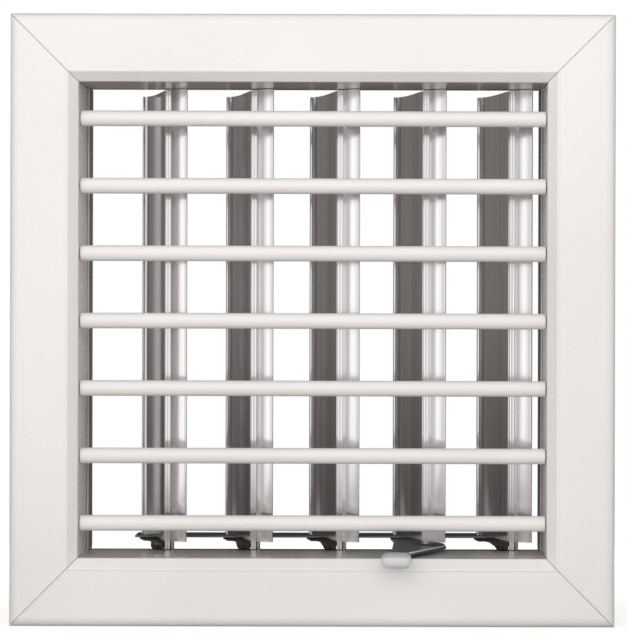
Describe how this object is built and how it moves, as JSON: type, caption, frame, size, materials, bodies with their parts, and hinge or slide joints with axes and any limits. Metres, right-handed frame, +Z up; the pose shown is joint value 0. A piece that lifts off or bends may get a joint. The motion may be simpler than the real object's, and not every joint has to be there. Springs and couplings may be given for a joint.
{
  "type": "wall ventilation grille",
  "caption": "White square wall grille with level turning slats in a mitred frame and a rear flow damper of upright vanes worked together by a small lever.",
  "frame": {"origin": "centre of the opening in the plane of the wall, where the back of the flange rests", "axes": "+X to the right and +Z up as seen by someone facing the grille, +Y into the wall"},
  "size_m": [0.25, 0.0893, 0.253],
  "materials": {
    "white_paint": "satin powder coat on extruded aluminium",
    "bare_aluminium": "as extruded, fine lengthwise die lines",
    "steel": "zinc plated",
    "nylon": "moulded",
    "black_plastic": "moulded, slight sheen",
    "lever_steel": "slate grey, stamped and folded",
    "knob_plastic": "moulded, soft sheen"
  },
  "bodies": {
    "frame": {"frame_top": "white_paint", "frame_bottom": "white_paint", "frame_left": "white_paint", "frame_right": "white_paint", "corner_key_top_left": "steel", "corner_key_top_right": "steel", "corner_key_bottom_left": "steel", "corner_key_bottom_right": "steel", "side_strip_left": "white_paint", "side_strip_right": "white_paint"},
    "slat_1": {"slat_1": "white_paint", "slat_1_stub_left": "nylon", "slat_1_stub_right": "nylon"},
    "slat_2": {"slat_2": "white_paint", "slat_2_stub_left": "nylon", "slat_2_stub_right": "nylon"},
    "slat_3": {"slat_3": "white_paint", "slat_3_stub_left": "nylon", "slat_3_stub_right": "nylon"},
    "slat_4": {"slat_4": "white_paint", "slat_4_stub_left": "nylon", "slat_4_stub_right": "nylon"},
    "slat_5": {"slat_5": "white_paint", "slat_5_stub_left": "nylon", "slat_5_stub_right": "nylon"},
    "slat_6": {"slat_6": "white_paint", "slat_6_stub_left": "nylon", "slat_6_stub_right": "nylon"},
    "slat_7": {"slat_7": "white_paint", "slat_7_stub_left": "nylon", "slat_7_stub_right": "nylon"},
    "vane_1": {"vane_1": "bare_aluminium", "vane_1_top_pin": "steel", "vane_1_bottom_pin": "steel", "crank_1": "black_plastic"},
    "vane_2": {"vane_2": "bare_aluminium", "vane_2_top_pin": "steel", "vane_2_bottom_pin": "steel", "lever": "lever_steel", "lever_collar": "steel", "lever_knob": "knob_plastic"},
    "vane_3": {"vane_3": "bare_aluminium", "vane_3_top_pin": "steel", "vane_3_bottom_pin": "steel", "crank_3": "black_plastic"},
    "vane_4": {"vane_4": "bare_aluminium", "vane_4_top_pin": "steel", "vane_4_bottom_pin": "steel", "crank_4": "black_plastic"},
    "vane_5": {"vane_5": "bare_aluminium", "vane_5_top_pin": "steel", "vane_5_bottom_pin": "steel", "crank_5": "black_plastic"},
    "link": {"link_bar": "black_plastic", "link_rivet_1": "steel", "link_rivet_2": "steel", "link_rivet_3": "steel", "link_rivet_4": "steel", "link_rivet_5": "steel"}
  },
  "joints": [
    {"name": "slat_1_turn", "type": "hinge", "parent": "frame", "child": "slat_1", "pos_m": [0, 0.006, 0.08375], "axis": [1, 0, 0], "range_deg": [-75, 75]},
    {"name": "slat_2_turn", "type": "hinge", "parent": "frame", "child": "slat_2", "pos_m": [0, 0.006, 0.0557], "axis": [1, 0, 0], "range_deg": [-75, 75]},
    {"name": "slat_3_turn", "type": "hinge", "parent": "frame", "child": "slat_3", "pos_m": [0, 0.006, 0.02765], "axis": [1, 0, 0], "range_deg": [-75, 75]},
    {"name": "slat_4_turn", "type": "hinge", "parent": "frame", "child": "slat_4", "pos_m": [0, 0.006, -0.0004], "axis": [1, 0, 0], "range_deg": [-75, 75]},
    {"name": "slat_5_turn", "type": "hinge", "parent": "frame", "child": "slat_5", "pos_m": [0, 0.006, -0.02845], "axis": [1, 0, 0], "range_deg": [-75, 75]},
    {"name": "slat_6_turn", "type": "hinge", "parent": "frame", "child": "slat_6", "pos_m": [0, 0.006, -0.0565], "axis": [1, 0, 0], "range_deg": [-75, 75]},
    {"name": "slat_7_turn", "type": "hinge", "parent": "frame", "child": "slat_7", "pos_m": [0, 0.006, -0.08455], "axis": [1, 0, 0], "range_deg": [-75, 75]},
    {"name": "vane_1_turn", "type": "hinge", "parent": "frame", "child": "vane_1", "pos_m": [0.0863, 0.031, 0], "axis": [0, 0, 1], "range_deg": [-8, 50]},
    {"name": "lever_turn", "type": "hinge", "parent": "frame", "child": "vane_2", "pos_m": [0.0495, 0.031, 0], "axis": [0, 0, 1], "range_deg": [-8, 50]},
    {"name": "vane_3_turn", "type": "hinge", "parent": "frame", "child": "vane_3", "pos_m": [0.0127, 0.031, 0], "axis": [0, 0, 1], "range_deg": [-8, 50]},
    {"name": "vane_4_turn", "type": "hinge", "parent": "frame", "child": "vane_4", "pos_m": [-0.0241, 0.031, 0], "axis": [0, 0, 1], "range_deg": [-8, 50]},
    {"name": "vane_5_turn", "type": "hinge", "parent": "frame", "child": "vane_5", "pos_m": [-0.0609, 0.031, 0], "axis": [0, 0, 1], "range_deg": [-8, 50]},
    {"name": "link_swing", "type": "hinge", "parent": "vane_2", "child": "link", "pos_m": [0.0355, 0.058, -0.0955], "axis": [0, 0, 1], "range_deg": [-50, 8]}
  ],
  "couplings": [
    {"joint": "vane_1_turn", "follows": "lever_turn", "ratio": 1},
    {"joint": "vane_3_turn", "follows": "lever_turn", "ratio": 1},
    {"joint": "vane_4_turn", "follows": "lever_turn", "ratio": 1},
    {"joint": "vane_5_turn", "follows": "lever_turn", "ratio": 1},
    {"joint": "link_swing", "follows": "lever_turn", "ratio": -1}
  ]
}
